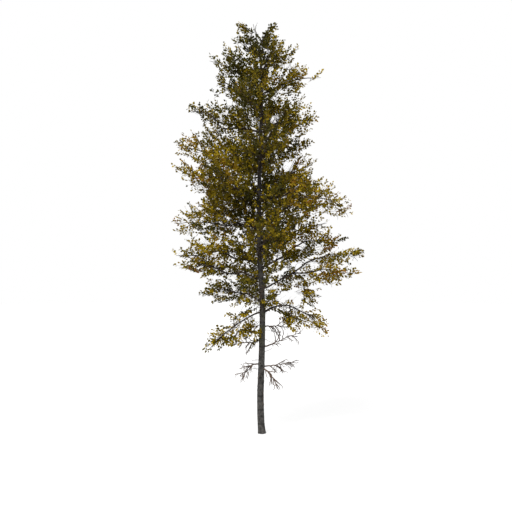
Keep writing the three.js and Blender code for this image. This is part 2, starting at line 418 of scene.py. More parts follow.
STEM = stem_line()


def stem_at(height):
    height = np.asarray(height, float)
    x = np.interp(height, STEM[:, 0], STEM[:, 1])
    y = np.interp(height, STEM[:, 0], STEM[:, 2])
    return np.stack([x, y, height], -1)


def stem_radius(height):
    return np.interp(height, STEM[:, 0], STEM[:, 3])


def on_stem(height, turn):
    """A point on the trunk's skin."""
    middle = stem_at(height)
    return middle + np.array([math.cos(turn), math.sin(turn), 0.0]) * stem_radius(height)


def off_stem(points):
    """How far each point is from the trunk's line, level."""
    return lengths(points[..., :2] - stem_at(np.clip(points[..., 2], 0, TOP))[..., :2])


def limb_line(node, rings=6, count=14):
    """A CAD limb's centre line and radii, from the trunk to its end."""
    place = np.unique(np.round(points_of(NODES[node]), 4), axis=0)
    near = place[np.argmin(off_stem(place))]
    far = place[np.argmax(lengths(place - near))]
    ahead = unit(far - near)
    along = (place - near) @ ahead
    along = along / along.max()
    lap = 0.02
    middles, widths = [], []
    for low in np.linspace(0, 1, rings + 1)[:-1]:
        band = place[(along >= low - lap) & (along <= low + 1 / rings + lap)]
        if len(band) < 3:
            continue
        middle = band.mean(0)
        middles.append(middle)
        across = band - middle
        widths.append(lengths(across - (across @ ahead)[:, None] * ahead).mean())
    end = place[along > 0.97].mean(0)
    path = resampled(np.vstack([middles, end[None]]), count)
    return path, np.linspace(widths[0], widths[-1], count)


# ---------------------------------------------------------------- sizes and colours a user may change


def colour_setting(name, text, value):
    return bpy.props.FloatVectorProperty(
        name=name, description=text, subtype="COLOR", size=3, min=0, max=1, default=value
    )


def length_setting(name, text, value):
    return bpy.props.FloatProperty(name=name, description=text, unit="LENGTH", min=0, default=value)


def share_setting(name, text, value):
    return bpy.props.FloatProperty(
        name=name, description=text, subtype="FACTOR", min=0, max=1, default=value
    )


def strength_setting(name, text, value):
    return bpy.props.FloatProperty(name=name, description=text, min=0, default=value)


def count_setting(name, text, value):
    return bpy.props.IntProperty(name=name, description=text, min=0, default=value)


class PoplarBark(bpy.types.PropertyGroup):
    skin: colour_setting("Skin", "Smooth grey bark", (0.078, 0.073, 0.067))
    shade: colour_setting("Shade", "Dark bark in grooves and bands", (0.028, 0.025, 0.022))
    algae: colour_setting("Algae", "Green bloom in patches on the trunk", (0.16, 0.17, 0.045))
    # Orange for the trunk's +X side: partly bloom, partly painted warm light.
    rust_and_painted_light: colour_setting("Rust", "Orange bloom on the sunny edge", (0.23, 0.105, 0.035))
    twig: colour_setting("Twig", "Live twigs inside the crown", (0.098, 0.062, 0.036))
    dead: colour_setting("Dead twig", "Bare dead twigs", (0.165, 0.110, 0.080))
    relief: length_setting("Relief", "Height of the bark's unevenness", 0.0035)
    ring_spacing: length_setting("Ring spacing", "Distance between the trunk's rings of points", 0.014)
    sides: count_setting("Sides", "Points round the trunk", 40)


class PoplarCrown(bpy.types.PropertyGroup):
    seed: count_setting("Seed", "Start of every random choice", 7)
    shoot_spacing: length_setting("Shoot spacing", "Least distance between leafy shoots", 0.138)
    shoot_length: length_setting("Shoot length", "Length of the straight leafy part of a shoot", 0.43)
    leaf_spacing: length_setting("Leaf spacing", "Distance between leaves along a shoot", 0.034)
    leaf_length: length_setting("Leaf length", "Length of a full-grown blade", 0.082)
    leaf_width: share_setting("Leaf width", "Width of a blade as a share of its length", 0.80)
    stalk: length_setting("Stalk", "Length of a leaf's stalk", 0.027)
    laterals: count_setting("Laterals", "Side branches for each cubic metre of leaf mass", 15)
    bottle: colour_setting("Bottle green", "Oldest green leaves", (0.056, 0.052, 0.005))
    olive: colour_setting("Olive", "Dull green leaves", (0.105, 0.088, 0.005))
    moss: colour_setting("Moss", "Green leaves turning", (0.175, 0.130, 0.005))
    brass: colour_setting("Brass", "Green-gold leaves", (0.275, 0.195, 0.006))
    gold: colour_setting("Gold", "Yellow leaves", (0.420, 0.300, 0.010))
    ochre: colour_setting("Ochre", "Brown-gold leaves", (0.285, 0.170, 0.008))
    russet: colour_setting("Russet", "Orange leaves", (0.270, 0.118, 0.010))


class PoplarDeadWood(bpy.types.PropertyGroup):
    seed: count_setting("Seed", "Start of every random choice", 21)
    twigs: count_setting("Twigs", "Side twigs on each dead bough", 13)
    reach: length_setting("Reach", "Length of the longest side twig", 0.50)
    kink: share_setting("Kink", "How far each step of a twig turns aside", 0.36)


class PoplarStage(bpy.types.PropertyGroup):
    floor: length_setting("Floor", "Radius of the floor", 60.0)
    distance: length_setting("Distance", "From the trunk to the camera", 20.76)
    eye: length_setting("Eye", "Height of the camera", 5.17)
    lens: bpy.props.FloatProperty(
        name="Lens", description="Focal length of the camera", unit="CAMERA", default=50.0
    )
    key: strength_setting("Key light", "Strength of the main light", 2.0)
    fill: strength_setting("Sky light", "Strength of the light from all round", 0.92)


# ---------------------------------------------------------------- materials


class Mixer:
    """Adds linked nodes to one node tree. It takes sockets, numbers or colours and returns sockets."""

    def __init__(self, tree):
        self.tree = tree

    def feed(self, socket, value):
        if isinstance(value, bpy.types.NodeSocket):
            self.tree.links.new(value, socket)
        else:
            socket.default_value = value

    def node(self, kind, inputs=(), **settings):
        """A new node with these settings. Its inputs are fed by name or by number."""
        made = self.tree.nodes.new("ShaderNode" + kind)
        for name, value in settings.items():
            setattr(made, name, value)
        for place, value in dict(inputs).items():
            self.feed(made.inputs[place], value)
        return made

    def here(self):
        """The place on the surface, in the object's own coordinates."""
        return self.node("TexCoord").outputs["Object"]

    def noise(self, vector, scale, detail=4.0, rough=0.55):
        inputs = {"Vector": vector, "Scale": scale, "Detail": detail, "Roughness": rough}
        return self.node("TexNoise", inputs).outputs["Fac"]

    def stretched(self, vector, x, y, z):
        return self.node("Mapping", {"Vector": vector, "Scale": (x, y, z)}).outputs["Vector"]

    def sharpened(self, value, low, high):
        """The value spread so that low becomes 0 and high becomes 1."""
        inputs = {"Value": value, "From Min": low, "From Max": high}
        return self.node("MapRange", inputs, interpolation_type="SMOOTHSTEP").outputs["Result"]

    def math(self, how, a, b=0.0):
        return self.node("Math", {0: a, 1: b}, operation=how).outputs["Value"]

    def times(self, value, *others):
        for other in others:
            value = self.math("MULTIPLY", value, other)
        return value

    def mixed(self, factor, a, b):
        """Colour a where factor is 0 and colour b where it is 1."""
        a, b = ((*c, 1.0) if isinstance(c, tuple) else c for c in (a, b))
        return self.node("Mix", {0: factor, 6: a, 7: b}, data_type="RGBA").outputs[2]

    def bumped(self, shader, height, strength, distance):
        """Makes the shader's surface as uneven as height says."""
        bump = self.node("Bump", {"Height": height, "Strength": strength, "Distance": distance})
        self.feed(shader.inputs["Normal"], bump.outputs["Normal"])

    def split_rays(self, thrown, seen):
        """One shader for the light thrown about and another for what the camera sees."""
        ray = self.node("LightPath").outputs["Is Camera Ray"]
        return self.node("MixShader", {0: ray, 1: thrown, 2: seen}).outputs[0]


def shaded(tint, much):
    return tuple(much * c for c in tint)


def new_group(name, numbers):
    """A new shader node group that takes a Vector and these numbers. Returns its mixer and its inputs."""
    made = bpy.data.node_groups.new(name, "ShaderNodeTree")
    sockets = made.interface
    sockets.new_socket("Vector", in_out="INPUT", socket_type="NodeSocketVector")
    for title, value in numbers.items():
        sockets.new_socket(title, in_out="INPUT", socket_type="NodeSocketFloat").default_value = value
    sockets.new_socket("Mask", in_out="OUTPUT", socket_type="NodeSocketFloat")
    return Mixer(made), made.nodes.new("NodeGroupInput").outputs


def put_out(mix, mask):
    """Ends a group with the mask that it puts out."""
    mix.feed(mix.tree.nodes.new("NodeGroupOutput").inputs["Mask"], mask)
    return mix.tree


def lenticel_group():
    """Mask of the short level pores in smooth bark."""
    mix, given = new_group("Lenticels", {"Size": 60.0})
    level = mix.stretched(given["Vector"], 0.45, 0.45, 1.6)
    cell = mix.node("TexVoronoi", {"Vector": level, "Scale": given["Size"]}, feature="F1")
    pore = mix.sharpened(cell.outputs["Distance"], 0.34, 0.12)
    spread = mix.sharpened(mix.noise(given["Vector"], 9.0), 0.46, 0.62)
    return put_out(mix, mix.times(pore, spread))


def fissure_group():
    """Mask of the fine upright cracks that open in bark as it ages."""
    mix, given = new_group("Fissures", {"Width": 0.06})
    upright = mix.stretched(given["Vector"], 1.5, 1.5, 0.22)
    cell = mix.node("TexVoronoi", {"Vector": upright, "Scale": 26.0}, feature="DISTANCE_TO_EDGE")
    line = mix.sharpened(mix.math("DIVIDE", cell.outputs["Distance"], given["Width"]), 1.2, 0.3)
    patch = mix.sharpened(mix.noise(given["Vector"], 5.0), 0.48, 0.66)
    return put_out(mix, mix.times(line, patch))


def band_group():
    """Mask of the dark, ragged and wandering bands where bud scars ring the trunk."""
    mix, given = new_group("Scar bands", {"Half width": 0.026})
    wander = 0.07
    level = mix.node("SeparateXYZ", {0: given["Vector"]}).outputs["Z"]
    level = mix.math("ADD", level, mix.times(mix.noise(given["Vector"], 9.0, 3.0), wander))
    total = 0.0
    for height, dark in SCARS:
        away = mix.math("ABSOLUTE", mix.math("SUBTRACT", level, height + wander / 2))
        near = mix.math("DIVIDE", away, given["Half width"])
        total = mix.math("MAXIMUM", total, mix.times(mix.sharpened(near, 1.6, 0.2), dark))
    ragged = mix.sharpened(mix.noise(given["Vector"], 17.0), 0.22, 0.42)
    return put_out(mix, mix.times(total, ragged))


def knot_group():
    """Mask of the dark knots on the trunk, with frayed edges."""
    mix, given = new_group("Knots", {})
    frayed = mix.times(mix.noise(given["Vector"], 55.0), 0.02)
    total = 0.0
    for height, turn, radius in KNOTS:
        ends = {0: given["Vector"], 1: on_stem(height, turn)}
        gap = mix.node("VectorMath", ends, operation="DISTANCE").outputs["Value"]
        away = mix.math("DIVIDE", mix.math("ADD", gap, frayed), radius + 0.01)
        total = mix.math("MAXIMUM", total, mix.sharpened(away, 1.15, 0.75))
    return put_out(mix, total)


GROUPS = {
    "Lenticels": lenticel_group,
    "Fissures": fissure_group,
    "Scar bands": band_group,
    "Knots": knot_group,
}


def masked(mix, name, vector):
    """The mask of a shared group, which is made the first time that it is asked for."""
    shared = bpy.data.node_groups.get(name) or GROUPS[name]()
    return mix.node("Group", {"Vector": vector}, node_tree=shared).outputs["Mask"]


def material(name, rough):
    """A new material. Returns it with the mixer of its nodes and its Principled shader."""
    old = bpy.data.materials.get(name)
    if old is not None:
        bpy.data.materials.remove(old)
    made = bpy.data.materials.new(name)
    made.use_nodes = True
    shader = made.node_tree.nodes["Principled BSDF"]
    shader.inputs["Roughness"].default_value = rough
    return made, Mixer(made.node_tree), shader


def bark_material(name, bark, banded):
    """Smooth grey poplar bark: mottled skin, grain, pores and fine cracks, and the trunk's own marks."""
    made, mix, shader = material(name, 0.82)
    here = mix.here()
    skin = tuple(bark.skin)
    if not banded:
        skin = tuple((bark.skin[k] + bark.twig[k]) / 2 for k in range(3))
    mottle = mix.sharpened(mix.noise(mix.stretched(here, 1, 1, 0.7), 11.0, 7.0, 0.66), 0.38, 0.64)
    base = mix.mixed(mottle, shaded(skin, 0.36), shaded(skin, 1.55))
    grain = mix.sharpened(mix.noise(mix.stretched(here, 1, 1, 2.2), 46.0, 4.0, 0.7), 0.50, 0.66)
    pores = masked(mix, "Lenticels", here)
    cracks = masked(mix, "Fissures", here)
    for marks, dark in ((grain, 0.6), (pores, 0.55), (cracks, 0.75)):
        base = mix.mixed(mix.times(marks, dark), base, tuple(bark.shade))
    height = mix.math("SUBTRACT", mix.times(pores, 0.6), cracks)
    if banded:
        base, height = trunk_marks(mix, here, bark, base, height)
    grit = mix.times(mix.noise(here, 120.0, 3.0), 0.5)
    mix.bumped(shader, mix.math("ADD", height, grit), 0.55, 0.004)
    mix.feed(shader.inputs["Base Color"], base)
    rough = mix.node("MapRange", {"Value": mottle, "To Min": 0.68, "To Max": 0.92})
    mix.feed(shader.inputs["Roughness"], rough.outputs["Result"])
    return made


def trunk_marks(mix, here, bark, base, height):
    """The bark's colour and height with the trunk's bloom, scar bands and knots, and an orange tint on its +X
    side that is partly bloom and partly painted warm light.
    """
    place = mix.node("SeparateXYZ", {0: here}).outputs
    zone = mix.times(mix.sharpened(place["Z"], 2.4, 2.9), mix.sharpened(place["Z"], 4.0, 3.3))
    bloom = mix.times(zone, mix.sharpened(mix.noise(here, 6.0, 5.0), 0.44, 0.62), 0.3)
    base = mix.mixed(bloom, base, tuple(bark.algae))
    # Orange in patches on the trunk's +X side, from 0.75 to 1.4 m up: partly bloom, partly painted warm
    # light.
    zone = mix.times(mix.sharpened(place["Z"], 0.75, 0.95), mix.sharpened(place["Z"], 1.4, 1.05))
    sunny = mix.times(zone, mix.sharpened(place["X"], 0.01, 0.06))
    stain_and_painted_light = mix.times(sunny, mix.sharpened(mix.noise(here, 14.0), 0.42, 0.6), 0.45)
    base = mix.mixed(stain_and_painted_light, base, tuple(bark.rust_and_painted_light))
    marks = mix.math("MAXIMUM", masked(mix, "Scar bands", here), masked(mix, "Knots", here))
    base = mix.mixed(mix.times(marks, 0.95), base, shaded(bark.shade, 0.6))
    return base, mix.math("SUBTRACT", height, mix.times(marks, 0.5))


def dead_material(bark):
    """Weathered dead wood: reddish grey, with paler streaks where the bark has gone."""
    made, mix, shader = material("Dead wood", 0.9)
    here = mix.here()
    patch = mix.sharpened(mix.noise(here, 11.0, 5.0), 0.36, 0.66)
    base = mix.mixed(patch, shaded(bark.dead, 0.6), shaded(bark.dead, 1.25))
    pale = mix.sharpened(mix.noise(mix.stretched(here, 1, 1, 3), 34.0), 0.56, 0.72)
    base = mix.mixed(mix.times(pale, 0.5), base, shaded(bark.skin, 2.0))
    mix.feed(shader.inputs["Base Color"], base)
    mix.bumped(shader, mix.noise(here, 90.0, 3.0), 0.5, 0.003)
    return made


def plain_material(name, tint, rough, gloss=0.2):
    """One even colour, for what is too small to carry a pattern."""
    made, _mix, shader = material(name, rough)
    shader.inputs["Base Color"].default_value = (*tint, 1.0)
    shader.inputs["Specular IOR Level"].default_value = gloss
    return made


# ---------------------------------------------------------------- trunk


def relief_at(points, outward, depth):
    """How far the bark stands out at each point: slow swellings, upright ribs, bud scars and knots."""
    out = np.empty(len(points))
    bend = np.empty(len(points))
    for i, (p, n) in enumerate(zip(points, outward)):
        slow = noise.noise(Vector((p[0] * 6, p[1] * 6, p[2] * 2.2)))
        ribs = noise.noise(Vector((n[0] * 5.5, n[1] * 5.5, p[2] * 3.0 + 40)))
        fine = noise.noise(Vector((p[0] * 45, p[1] * 45, p[2] * 24)))
        out[i] = depth * (1.1 * slow + 0.9 * ribs + 0.5 * fine)
        bend[i] = noise.noise(Vector((n[0] * 1.4, n[1] * 1.4, p[2] * 3 + 9)))
    for level, dark in SCARS:
        away = (points[:, 2] + 0.05 * bend - level) / 0.024
        broken = np.clip(0.5 + 2.2 * bend * math.cos(41 * level), 0, 1)
        out += dark * depth * broken * (0.7 * np.exp(-(away**2)) - np.exp(-((away / 0.5) ** 2)))
    for level, turn, radius in KNOTS:
        around = np.arctan2(outward[:, 1], outward[:, 0]) - turn
        around = (around + math.pi) % (2 * math.pi) - math.pi
        away = np.hypot(around * KNOT_GIRTH, points[:, 2] - level) / radius
        out += depth * (1.8 * np.exp(-((away - 1.2) ** 2) * 3) - 0.9 * np.exp(-(away**2) * 2))
    return out


class POPLAR_OT_trunk(bpy.types.Operator):
    """Make the trunk, with root flare, swellings, bud scars, knots and branch collars"""

    bl_idname = "poplar.trunk"
    bl_label = "Trunk"

    def execute(self, context):
        bark = context.scene.poplar_bark
        fresh("trunk_bark")
        bpy.ops.object.select_all(action="DESELECT")
        bpy.ops.mesh.primitive_cylinder_add(
            vertices=bark.sides, radius=1.0, depth=1.0, location=(0, 0, 0), end_fill_type="TRIFAN"
        )
        trunk = context.active_object
        trunk.name = trunk.data.name = "trunk_bark"
        self.add_rings(trunk, 0.72 * TOP / bark.ring_spacing)
        self.shape(trunk, bark)
        select_only(trunk)
        bpy.ops.object.shade_smooth()
        bpy.ops.object.shade_smooth_by_angle(angle=math.radians(60))
        trunk.data.materials.append(bark_material("Trunk bark", bark, banded=True))
        settle(trunk, ["trunk"])
        return {"FINISHED"}

    def add_rings(self, trunk, rings):
        """Cuts the wall of the cylinder into rings, in two rounds of even cuts."""
        cuts = round(math.sqrt(rings)) - 1
        for low in (0.9, 0.5 / (cuts + 1)):
            self.cut_wall(trunk, cuts, low)

    def cut_wall(self, trunk, cuts, upright):
        """Cuts every edge that rises by more than upright."""
        select_only(trunk)
        bpy.ops.object.mode_set(mode="EDIT")
        bpy.ops.mesh.select_mode(type="EDGE")
        bpy.ops.mesh.select_all(action="DESELECT")
        bpy.ops.object.mode_set(mode="OBJECT")
        place = points_of(trunk)
        for edge in trunk.data.edges:
            a, b = (place[v] for v in edge.vertices)
            edge.select = bool(abs(a[2] - b[2]) > upright)
        bpy.ops.object.mode_set(mode="EDIT")
        bpy.ops.mesh.subdivide(number_cuts=cuts, quadcorner="STRAIGHT_CUT")
        bpy.ops.object.mode_set(mode="OBJECT")

    def shape(self, trunk, bark):
        """Gives the cylinder the trunk's line and taper, its flare and relief, and a collar at each bough."""
        place = points_of(trunk)
        along = place[:, 2] + 0.5
        height = TOP * along**1.35
        spread = lengths(place[:, :2])
        outward = np.column_stack([place[:, 0], place[:, 1], np.zeros(len(place))])
        turn = np.arctan2(place[:, 1], place[:, 0])
        flare = 0.008 * np.exp(-height / 0.14) * np.cos(5 * turn + 0.6)
        girth = stem_radius(height) + flare
        swell = relief_at(np.column_stack([outward[:, :2] * 0.1, height]), outward, bark.relief)
        for node in LIMBS + DEAD:
            path, radii = limb_line(node)
            away = path[3, :2] - stem_at(path[0, 2])[:2]
            facing = np.maximum(0, outward[:, :2] @ unit(away)) ** 6
            size = 2.2 * radii[0]
            swell += 0.45 * radii[0] * facing * np.exp(-(((height - path[0, 2]) / size) ** 2))
        fade = np.clip((TOP - height) / 3.0, 0.0, 1.0) * np.clip(spread, 0, 1)
        made = stem_at(height) + outward * (girth + swell * fade)[:, None]
        made[along < 1e-4, 2] = 0.0
        trunk.data.vertices.foreach_set("co", made.astype(np.float32).ravel())
        trunk.data.update()


# ---------------------------------------------------------------- limbs


def crooked(path, random, amount):
    """The path with small sideways steps, still at both ends."""
    steps = random.normal(0, 1, path.shape) * amount
    ease = np.sin(np.linspace(0, math.pi, len(path)))[:, None]
    return path + steps * ease


def square_to(way, random):
    """A direction at random, square to way."""
    return unit(np.cross(way, random.normal(0, 1, 3)))


def from_stem(height, least, most, random):
    """Where a shoot leaves the trunk, and its way out, which rises by least to most."""
    turn = random.uniform(0, 2 * math.pi)
    out = np.array([math.cos(turn), math.sin(turn), random.uniform(least, most)])
    return stem_at(height) + unit(out * [1, 1, 0]) * stem_radius(height) * 0.8, out


def zigzag(start, way, reach, steps, kink, droop, random):
    """A twig that turns aside at each bud, first one way and then the other."""
    path = [np.asarray(start, float)]
    way = unit(way)
    aside = square_to(way, random)
    for i in range(steps):
        turn = aside * kink * (1 if i % 2 else -1) * random.uniform(0.4, 1.2)
        way = unit(way + turn * 0.8 + random.normal(0, 0.13, 3) - UP * droop)
        path.append(path[-1] + way * reach / steps)
    return np.array(path)


def bare_spray(tubes, start, way, reach, thick, level, random, kink, droop):
    """A bare twig with side twigs of its own, down to level 0."""
    steps = max(3, int(reach / TWIG_STEP))
    path = zigzag(start, way, reach, steps, kink, droop, random)
    path[:, 2] = np.maximum(path[:, 2], 0.02)
    tubes.add(path, np.linspace(thick, thick * 0.55, len(path)), 4 if level > 1 else 3)
    if level == 0:
        return
    ahead = headings(path)
    for i in range(1, len(path)):
        if random.random() < 0.42:
            continue
        aside = square_to(ahead[i], random)
        out = unit(ahead[i] * random.uniform(0.7, 1.4) + aside)
        left = 1 - 0.6 * i / len(path)
        size = reach * left * random.uniform(0.35, 0.7)
        if size > LEAST_TWIG:
            bare_spray(tubes, path[i], out, size, thick * 0.7, level - 1, random, kink, droop)


def rooted(path, radii, count, sunk=0.0):
    """A limb's line and radii carried on to the middle of the trunk, as count points."""
    root = stem_at(path[0, 2] - sunk)
    line = resampled(np.vstack([root[None], path]), count)
    slim = np.interp(np.linspace(0, 1, count), np.linspace(0.1, 1, len(radii)), radii)
    return line, slim


class POPLAR_OT_limbs(bpy.types.Operator):
    """Make the bare part of each live bough, crooked and starting from the trunk's middle"""

    bl_idname = "poplar.limbs"
    bl_label = "Live limbs"

    def execute(self, context):
        bark = context.scene.poplar_bark
        random = np.random.default_rng(context.scene.poplar_crown.seed)
        tubes = Tubes()
        for node in LIMBS:
            line, slim = rooted(*limb_line(node), LIMB_POINTS, sunk=0.02)
            line[4:-3] = crooked(line[4:-3], random, 0.0045)
            wave = np.sin(np.arange(LIMB_POINTS) * 2.3 + random.uniform(0, 6))
            knobs = 1 + 0.10 * wave * random.random(LIMB_POINTS)
            tubes.add(line, slim * knobs, LIMB_SIDES)
        limbs = tubes.build("bough_bark", bark_material("Bough bark", bark, banded=False))
        settle(limbs, LIMBS)
        return {"FINISHED"}


class POPLAR_OT_dead_boughs(bpy.types.Operator):
    """Make the dead boughs low on the trunk, with their crooked bare twigs"""

    bl_idname = "poplar.dead_boughs"
    bl_label = "Dead boughs"

    def execute(self, context):
        bark = context.scene.poplar_bark
        dead = context.scene.poplar_dead_wood
        random = np.random.default_rng(dead.seed)
        tubes = Tubes()
        last = DEAD_POINTS - 1
        for node in DEAD:
            line, slim = rooted(*limb_line(node), DEAD_POINTS)
            line[3:] = crooked(line[3:], random, 0.012)
            tubes.add(line, slim * np.linspace(1.15, 0.85, DEAD_POINTS), DEAD_SIDES)
            ahead = headings(line)
            for i in np.linspace(6, last, dead.twigs).astype(int):
                aside = unit(square_to(ahead[i], random) - UP * 0.35)
                way = unit(ahead[i] * random.uniform(0.6, 1.3) + aside)
                reach = dead.reach * random.uniform(0.45, 1.0) * (1.1 - 0.5 * i / last)
                bare_spray(tubes, line[i], way, reach, 0.0140, 2, random, dead.kink, 0.07)
        self.stubs(tubes, random, dead)
        twigs = tubes.build("dead_boughs", dead_material(bark))
        settle(twigs, DEAD)
        return {"FINISHED"}

    def stubs(self, tubes, random, dead):
        """Small bare twigs on the trunk and on the lowest live limbs."""
        for height in np.linspace(1.75, 4.4, 22):
            start, out = from_stem(height, -0.5, 0.3, random)
            reach = random.uniform(0.10, 0.34)
            bare_spray(tubes, start, out, reach, 0.0085, 1, random, dead.kink, 0.06)
        for node in LIMBS:
            path, _radii = limb_line(node)
            ahead = headings(path)
            for i in random.integers(3, len(path) - 1, 8):
                way = unit(ahead[i] * 0.5 + random.normal(0, 0.6, 3) - UP * 0.3)
                reach = random.uniform(0.18, 0.5)
                bare_spray(tubes, path[i], way, reach, 0.0080, 1, random, dead.kink, 0.08)


# ---------------------------------------------------------------- crown


class Mass:
    """One leaf mass of the CAD: tells inside from outside and where its bough runs."""

    def __init__(self, node):
        self.node = node
        shape = NODES[node]
        self.place = points_of(shape)
        polygons = [tuple(p.vertices) for p in shape.data.polygons]
        self.tree = BVHTree.FromPolygons([tuple(p) for p in self.place], polygons)
        self.low, self.high = self.place.min(0), self.place.max(0)
        self.limb = SHARED_LIMB.get(node, node.replace("leaves_", "bough_"))
        self.root = self.find_root()
        self.axis = self.find_axis()

    def depth(self, point):
        """How deep a point lies under the surface, negative outside."""
        near, normal, _face, _gap = self.tree.find_nearest(Vector(point))
        inside = (Vector(point) - near).dot(normal) < 0
        gap = (Vector(point) - near).length
        return gap if inside else -gap

    def find_root(self):
        if self.limb in NODES:
            path, radii = limb_line(self.limb)
            self.girth = radii[-1]
            return path[-2]
        near = self.place[np.argmin(off_stem(self.place) + 0.5 * self.place[:, 2])]
        out = off_stem(near[None])[0]
        height = min(near[2] - 0.35 * out, TOP - 0.7)
        self.girth = min(0.55 * float(stem_radius(height)), THICKEST_BOUGH)
        return stem_at(height)

    def find_axis(self):
        near = self.place[np.argmin(lengths(self.place - self.root))]
        far = self.place[np.argmax(lengths(self.place - self.root))]
        along = (self.place - near) @ unit(far - near)
        along = along / along.max()
        middles = []
        for low, high in ((0.12, 0.34), (0.34, 0.58), (0.58, 0.8)):
            band = self.place[(along >= low) & (along < high)]
            if len(band):
                middles.append(band.mean(0))
        steps = max(8, int(np.linalg.norm(far - self.root) / 0.11))
        entry = (near + middles[0]) / 2
        return resampled(np.vstack([self.root, entry, *middles, far]), steps)

    def whole_line(self):
        """The bough's line from the trunk, with its bare limb if it has one."""
        if self.limb not in NODES:
            return self.axis
        path, _radii = limb_line(self.limb)
        return np.vstack([path[::4], self.axis[1:]])

    def samples(self, spacing, random):
        """Points spread through the mass and round the outer part of its bare limb."""
        spill = 0.0
        # Shoots that spill lie further apart, and others at the foot and the top of the crown closer.
        if "_front_" in self.node or "_back_" in self.node:
            spill = TIER_SPILL
            spacing *= 1.20
        elif self.low[2] > 8.6 or self.high[2] < 6.4:
            spacing *= 0.92
        size = self.high - self.low + UP * 2 * spill
        tries = int(np.prod(size) / spacing**3 * 2.6)
        kept, cells = [], {}
        for point in self.low - UP * spill + random.random((tries, 3)) * size:
            deep = self.depth(point)
            if deep < SHELL - spill or not wanted(point, deep, random):
                continue
            self.keep(point, cells, spacing, kept)
        if self.limb in NODES and self.node not in SHARED_LIMB:
            path, _radii = limb_line(self.limb)
            for at in random.integers(len(path) // 3, len(path), 60):
                point = path[at] + random.normal(0, 0.15, 3) - UP * 0.02
                if wanted(point, 0.0, random):
                    self.keep(point, cells, spacing, kept)
        return np.array(kept)

    def inner(self, random, number=12):
        """Places close to the bough where it leaves the trunk."""
        some = random.integers(1, max(2, len(self.axis) // 3), number)
        return self.axis[some] + random.normal(0, 0.12, (number, 3))

    def keep(self, point, cells, spacing, kept):
        cell = tuple((point // spacing).astype(int))
        if not self.crowded(point, cell, cells, spacing):
            cells.setdefault(cell, []).append(point)
            kept.append(point)

    def crowded(self, point, cell, cells, spacing):
        for i in (-1, 0, 1):
            for j in (-1, 0, 1):
                for k in (-1, 0, 1):
                    for other in cells.get((cell[0] + i, cell[1] + j, cell[2] + k), ()):
                        if np.dot(point - other, point - other) < spacing * spacing:
                            return True
        return False


def as_seen(point):
    """Where a point shows against the trunk, across and up, from the middle of the broad side."""
    stage = bpy.context.scene.poplar_stage
    nearer = stage.distance / (stage.distance + point[1])
    return CAMERA_SIDE + (point[0] - CAMERA_SIDE) * nearer, stage.eye + (point[2] - stage.eye) * nearer


def wanted(point, deep, random):
    """Shoots leave room in the windows of sky, close to the front of the trunk, and between sprays."""
    across, up = as_seen(point)
    for side, level, radius in WINDOWS:
        if math.hypot(across - side, up - level) < radius:
            return False
    if point[1] < 0.05 and point[2] < CLEAR_UP_TO and off_stem(point[None])[0] < CLEAR_OF_STEM:
        return False
    if noise.noise(Vector(point) * GAPS) < GAP_EDGE:
        return False
    return deep < 0.25 or random.random() < 0.8


def left_out(feet, boughs, random):
    """Which leaves are missing, where the trunk, a bough of boughs or a speck of sky shows."""
    across, up = as_seen(feet.T)
    missing = np.zeros(len(feet), bool)
    for side, level, radius in WINDOWS:
        missing |= np.hypot(across - side, up - level) < radius
    stem = stem_at(np.clip(up, 0, TOP))
    before = (feet[:, 1] < stem[:, 1]) & (np.abs(across - stem[:, 0]) < stem_radius(up) + TRUNK_EDGE)
    for low, high, share in GLIMPSES:
        missing |= before & (up > low) & (up < high) & (random.random(len(feet)) < share)
    for path, share in boughs:
        side, level = as_seen(path.T)
        for i in range(len(path)):
            close = np.hypot(across - side[i], up - level[i]) < BOUGH_EDGE
            missing |= close & (feet[:, 1] < path[i, 1]) & (random.random(len(feet)) < share)
    for i in np.flatnonzero(~missing):
        speck = noise.noise(Vector((across[i] * SPECKS, up[i] * SPECKS, feet[i, 1] * 0.7)))
        missing[i] = speck < SPECK_EDGE
    return missing


class Wood:
    """The branches of one leaf mass, and the places on them where shoots can start."""

    def __init__(self, tubes):
        self.tubes = tubes
        self.places = []
        self.ways = []

    def add(self, path, radii, sides, skip=0):
        self.tubes.add(path, radii, sides)
        self.places.append(path[skip:])
        self.ways.append(headings(path)[skip:])

    def nearest(self, target):
        """The place that a shoot to target would leave from without doubling back."""
        places, ways = self.all_places, self.all_ways
        gap = target - places
        far = lengths(gap) + 1e-6
        turn = 1 - np.einsum("ij,ij->i", gap, ways) / far
        cost = (far + 0.02) * (1 + 0.9 * turn**1.5)
        best = int(np.argmin(cost))
        return places[best], ways[best], far[best]

    def freeze(self):
        self.all_places = np.vstack(self.places)
        self.all_ways = np.vstack(self.ways)

    def extend(self, path):
        self.all_places = np.vstack([self.all_places, path])
        self.all_ways = np.vstack([self.all_ways, headings(path)])


def spread_out(points, count, random):
    """count of the points, each as far as can be from those picked before."""
    picked = [int(random.integers(len(points)))]
    gap = lengths(points - points[picked[0]])
    while len(picked) < min(count, len(points)):
        picked.append(int(np.argmax(gap)))
        gap = np.minimum(gap, lengths(points - points[picked[-1]]))
    return points[picked]


def grow_side_branches(wood, mass, axis, radii, targets, crown, random):
    """Side branches from the bough to places spread through the mass."""
    step = lengths(np.diff(axis, axis=0)).sum() / len(axis)
    volume = np.prod(mass.high - mass.low) * 0.5
    ahead = headings(axis)
    for goal in spread_out(targets, 5 + int(crown.laterals * volume), random):
        near = int(np.argmin(lengths(axis - goal)))
        out = np.linalg.norm(axis[near] - goal)
        if out < LEAST_BRANCH:
            continue
        start = max(1, near - int(round(0.8 * out / step)))
        pull = axis[start] + ahead[start] * 0.30 * out + (goal - axis[start]) * 0.35 + UP * 0.05 * out
        steps = max(5, int(out / BRANCH_STEP))
        path = crooked(bent(axis[start], pull, goal, steps), random, 0.008)
        thick = max(BRANCH_FOOT, 0.5 * radii[start])
        wood.add(path, np.linspace(thick, SHOOT_FOOT, len(path)), BRANCH_SIDES, skip=1)


